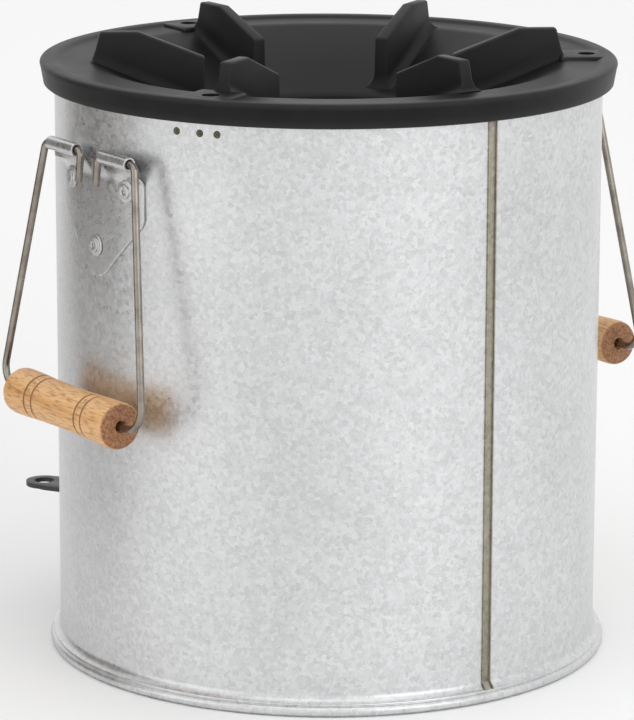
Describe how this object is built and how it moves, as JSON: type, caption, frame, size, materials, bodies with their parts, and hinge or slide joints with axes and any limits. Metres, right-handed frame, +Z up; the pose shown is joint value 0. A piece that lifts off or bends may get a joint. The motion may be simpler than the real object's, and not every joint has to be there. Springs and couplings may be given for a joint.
{
  "type": "portable charcoal stove",
  "caption": "Bucket-type charcoal stove: galvanised drum, finned cast pot-rest top, clay liner, swinging wire bails with wooden grips, ash drawer and air-shutter lever.",
  "frame": {"origin": "centre of the drum's flat underside", "axes": "+Z up, -Y towards the ash drawer, +X towards the right bail handle"},
  "size_m": [0.3204, 0.2937, 0.3034],
  "materials": {
    "zinc_sheet": "satin",
    "cast_iron": "satin",
    "dark_steel": "satin",
    "fired_clay": "matte",
    "mineral_fill": "matte",
    "black_steel": "satin",
    "rivet_metal": "satin",
    "wire_steel": "gloss",
    "beech": "satin"
  },
  "bodies": {
    "stove_body": {"outer_shell": "zinc_sheet", "base_pan": "zinc_sheet", "pot_rest_top": "cast_iron", "top_screws": "dark_steel", "top_brackets": "zinc_sheet", "bracket_nuts": "dark_steel", "ceramic_liner": "fired_clay", "insulation_fill": "mineral_fill", "shelf_pan": "zinc_sheet", "shutter_pivot": "rivet_metal", "drawer_rails": "zinc_sheet", "right_ear": "zinc_sheet", "left_ear": "zinc_sheet", "right_ear_rivets": "rivet_metal", "left_ear_rivets": "rivet_metal"},
    "grate": {"fire_grate": "cast_iron"},
    "shutter": {"air_shutter": "zinc_sheet", "shutter_lever": "black_steel", "lever_rivets": "rivet_metal"},
    "drawer": {"ash_tray": "zinc_sheet", "drawer_front": "zinc_sheet", "drawer_pull": "wire_steel", "drawer_rivets": "rivet_metal"},
    "right_bail_body": {"right_bail": "wire_steel"},
    "left_bail_body": {"left_bail": "wire_steel"},
    "right_grip_body": {"right_grip": "beech"},
    "left_grip_body": {"left_grip": "beech"}
  },
  "joints": [
    {"name": "right_bail_swing", "type": "hinge", "parent": "stove_body", "child": "right_bail_body", "pos_m": [0.137, 0, 0.257], "axis": [0, -1, 0], "range_deg": [0, 165]},
    {"name": "left_bail_swing", "type": "hinge", "parent": "stove_body", "child": "left_bail_body", "pos_m": [-0.137, 0, 0.257], "axis": [0, 1, 0], "range_deg": [0, 165]},
    {"name": "right_grip_spin", "type": "hinge", "parent": "right_bail_body", "child": "right_grip_body", "pos_m": [0.14905, 0, 0.1363], "axis": [0, 1, 0], "continuous": true},
    {"name": "left_grip_spin", "type": "hinge", "parent": "left_bail_body", "child": "left_grip_body", "pos_m": [-0.14905, 0, 0.1363], "axis": [0, 1, 0], "continuous": true},
    {"name": "shutter_turn", "type": "hinge", "parent": "stove_body", "child": "shutter", "pos_m": [0, 0, 0.0606], "axis": [0, 0, 1], "range_deg": [-60, 0]},
    {"name": "drawer_slide", "type": "slide", "parent": "stove_body", "child": "drawer", "axis": [0, -1, 0], "range_m": [0, 0.17]},
    {"name": "grate_lift", "type": "slide", "parent": "stove_body", "child": "grate", "axis": [0, 0, 1], "range_m": [0, 0.215]}
  ]
}
